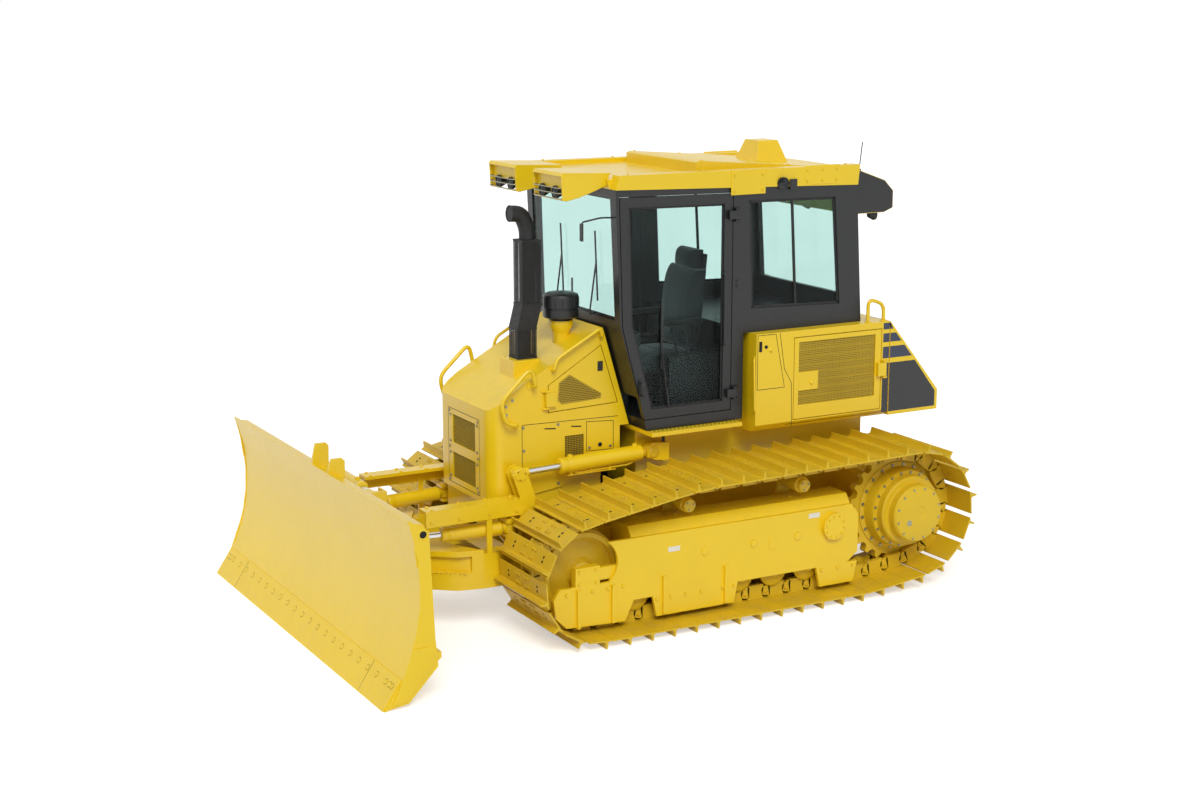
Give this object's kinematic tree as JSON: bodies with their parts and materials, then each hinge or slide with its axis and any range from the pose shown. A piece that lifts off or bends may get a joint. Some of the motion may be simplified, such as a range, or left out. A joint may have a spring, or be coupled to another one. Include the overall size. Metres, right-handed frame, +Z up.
{
  "type": "crawler dozer",
  "caption": "Crawler dozer with a lifting, angling and tilting blade on a push frame, sloping hood, glazed cab with roof and lamps, opening doors, and wide single-grouser tracks.",
  "frame": {"origin": "centre of the overall box at ground level, midway between the cutting edge's front and the drawbar's end, on the machine's middle plane", "axes": "+X forward, +Y to the operator's left, +Z up"},
  "size_m": [5.06, 3.35, 3.29],
  "materials": {
    "yellow_paint": "semi-gloss",
    "black_trim": "satin",
    "tinted_glass": "clear, pale green",
    "seat_fabric": "woven",
    "grey_plastic": "textured",
    "engine_iron": "painted casting",
    "core_aluminium": "dull",
    "cast_steel": "satin",
    "track_steel": "satin",
    "edge_steel": "semi-gloss",
    "black_rubber": "dull",
    "chrome_rod": "polished"
  },
  "bodies": {
    "chassis": {"main_frame": "yellow_paint", "side_brackets": "yellow_paint", "engine": "engine_iron", "cooling_pack": "core_aluminium", "hood": "yellow_paint", "track_frame_left": "yellow_paint", "track_frame_right": "yellow_paint", "track_left": "track_steel", "track_right": "track_steel", "wheels_left": "cast_steel", "wheels_right": "cast_steel", "cab": "black_trim", "cab_roof": "yellow_paint", "cab_glass": "tinted_glass", "seat": "seat_fabric", "console": "grey_plastic", "rear_body": "yellow_paint", "exhaust": "black_trim", "precleaner": "black_trim", "handrails": "yellow_paint", "lamps": "black_trim", "hull_hoses": "black_rubber"},
    "push_frame": {"push_frame": "yellow_paint"},
    "angle_head": {"angle_head": "yellow_paint", "head_hoses": "black_rubber"},
    "blade": {"blade": "yellow_paint", "cutting_edge": "edge_steel"},
    "lift_barrel_left": {"lift_barrel_left": "yellow_paint"},
    "lift_rod_left": {"lift_rod_left": "chrome_rod"},
    "lift_barrel_right": {"lift_barrel_right": "yellow_paint"},
    "lift_rod_right": {"lift_rod_right": "chrome_rod"},
    "angle_barrel_left": {"angle_barrel_left": "yellow_paint"},
    "angle_rod_left": {"angle_rod_left": "chrome_rod"},
    "angle_barrel_right": {"angle_barrel_right": "yellow_paint"},
    "angle_rod_right": {"angle_rod_right": "chrome_rod"},
    "tilt_barrel": {"tilt_barrel": "yellow_paint"},
    "tilt_rod": {"tilt_rod": "chrome_rod"},
    "cab_door_left": {"cab_door_left": "black_trim", "door_glass_left": "tinted_glass"},
    "cab_door_right": {"cab_door_right": "black_trim", "door_glass_right": "tinted_glass"},
    "hood_door_left": {"hood_door_left": "yellow_paint"},
    "hood_door_right": {"hood_door_right": "yellow_paint"},
    "body_door_left": {"body_door_left": "yellow_paint"},
    "body_door_right": {"body_door_right": "yellow_paint"},
    "tail_door": {"tail_door": "yellow_paint"}
  },
  "joints": [
    {"name": "blade_lift", "type": "hinge", "parent": "chassis", "child": "push_frame", "pos_m": [-0.35, 0, 0.48], "axis": [0, 1, 0], "range_deg": [-17, 10]},
    {"name": "blade_angle", "type": "hinge", "parent": "push_frame", "child": "angle_head", "pos_m": [1.81, 0, 0.46], "axis": [0, 0, 1], "range_deg": [-25, 25]},
    {"name": "blade_tilt", "type": "hinge", "parent": "angle_head", "child": "blade", "pos_m": [2.06, 0, 0.56], "axis": [1, 0, 0], "range_deg": [-7, 7]},
    {"name": "lift_barrel_left_pivot", "type": "hinge", "parent": "chassis", "child": "lift_barrel_left", "pos_m": [-0.04, 0.55, 1.14], "axis": [0, 1, 0], "range_deg": [-24.1, 14.6]},
    {"name": "lift_rod_left_slide", "type": "slide", "parent": "lift_barrel_left", "child": "lift_rod_left", "axis": [0.9993, 0, -0.0375], "range_m": [-0.1918, 0.1149]},
    {"name": "angle_barrel_left_pivot", "type": "hinge", "parent": "push_frame", "child": "angle_barrel_left", "pos_m": [1.09, 0.545, 0.72], "axis": [0, 0, 1], "range_deg": [-0.7, 0.7]},
    {"name": "angle_rod_left_slide", "type": "slide", "parent": "angle_barrel_left", "child": "angle_rod_left", "axis": [0.9928, -0.1201, 0], "range_m": [-0.1994, 0.1994]},
    {"name": "lift_barrel_right_pivot", "type": "hinge", "parent": "chassis", "child": "lift_barrel_right", "pos_m": [-0.04, -0.55, 1.14], "axis": [0, 1, 0], "range_deg": [-24.1, 14.6]},
    {"name": "lift_rod_right_slide", "type": "slide", "parent": "lift_barrel_right", "child": "lift_rod_right", "axis": [0.9993, 0, -0.0375], "range_m": [-0.1918, 0.1149]},
    {"name": "angle_barrel_right_pivot", "type": "hinge", "parent": "push_frame", "child": "angle_barrel_right", "pos_m": [1.09, -0.545, 0.72], "axis": [0, 0, 1], "range_deg": [-0.7, 0.7]},
    {"name": "angle_rod_right_slide", "type": "slide", "parent": "angle_barrel_right", "child": "angle_rod_right", "axis": [0.9928, 0.1201, 0], "range_m": [-0.1994, 0.1994]},
    {"name": "tilt_barrel_pivot", "type": "hinge", "parent": "angle_head", "child": "tilt_barrel", "pos_m": [1.995, -0.42, 1.01], "axis": [1, 0, 0], "range_deg": [-3.6, 3.6]},
    {"name": "tilt_rod_slide", "type": "slide", "parent": "tilt_barrel", "child": "tilt_rod", "axis": [0, 1, 0], "range_m": [-0.06, 0.06]},
    {"name": "cab_door_left_hinge", "type": "hinge", "parent": "chassis", "child": "cab_door_left", "pos_m": [-0.665, 0.7, 2.2], "axis": [0, 0, 1], "range_deg": [0, 110]},
    {"name": "hood_door_left_hinge", "type": "hinge", "parent": "chassis", "child": "hood_door_left", "pos_m": [0.747, 0.47, 1.6], "axis": [0, 0, -1], "range_deg": [0, 50]},
    {"name": "body_door_left_hinge", "type": "hinge", "parent": "chassis", "child": "body_door_left", "pos_m": [-1.945, 0.8, 1.6], "axis": [0, 0, 1], "range_deg": [0, 80]},
    {"name": "cab_door_right_hinge", "type": "hinge", "parent": "chassis", "child": "cab_door_right", "pos_m": [-0.665, -0.7, 2.2], "axis": [0, 0, -1], "range_deg": [0, 110]},
    {"name": "hood_door_right_hinge", "type": "hinge", "parent": "chassis", "child": "hood_door_right", "pos_m": [0.747, -0.47, 1.6], "axis": [0, 0, 1], "range_deg": [0, 50]},
    {"name": "body_door_right_hinge", "type": "hinge", "parent": "chassis", "child": "body_door_right", "pos_m": [-1.945, -0.8, 1.6], "axis": [0, 0, -1], "range_deg": [0, 80]},
    {"name": "tail_door_hinge", "type": "hinge", "parent": "chassis", "child": "tail_door", "pos_m": [-1.985, -0.8, 1.6], "axis": [0, 0, 1], "range_deg": [0, 85]}
  ],
  "couplings": [
    {"joint": "lift_barrel_left_pivot", "follows": "blade_lift", "ratio": 1.356},
    {"joint": "lift_rod_left_slide", "follows": "blade_lift", "m_per_rad": 0.6296},
    {"joint": "angle_barrel_left_pivot", "follows": "blade_angle", "ratio": -0.006529},
    {"joint": "angle_rod_left_slide", "follows": "blade_angle", "m_per_rad": -0.44557},
    {"joint": "lift_barrel_right_pivot", "follows": "blade_lift", "ratio": 1.356},
    {"joint": "lift_rod_right_slide", "follows": "blade_lift", "m_per_rad": 0.6296},
    {"joint": "angle_barrel_right_pivot", "follows": "blade_angle", "ratio": -0.006529},
    {"joint": "angle_rod_right_slide", "follows": "blade_angle", "m_per_rad": 0.44557},
    {"joint": "tilt_barrel_pivot", "follows": "blade_tilt", "ratio": 0.43975},
    {"joint": "tilt_rod_slide", "follows": "blade_tilt", "m_per_rad": -0.44982}
  ]
}
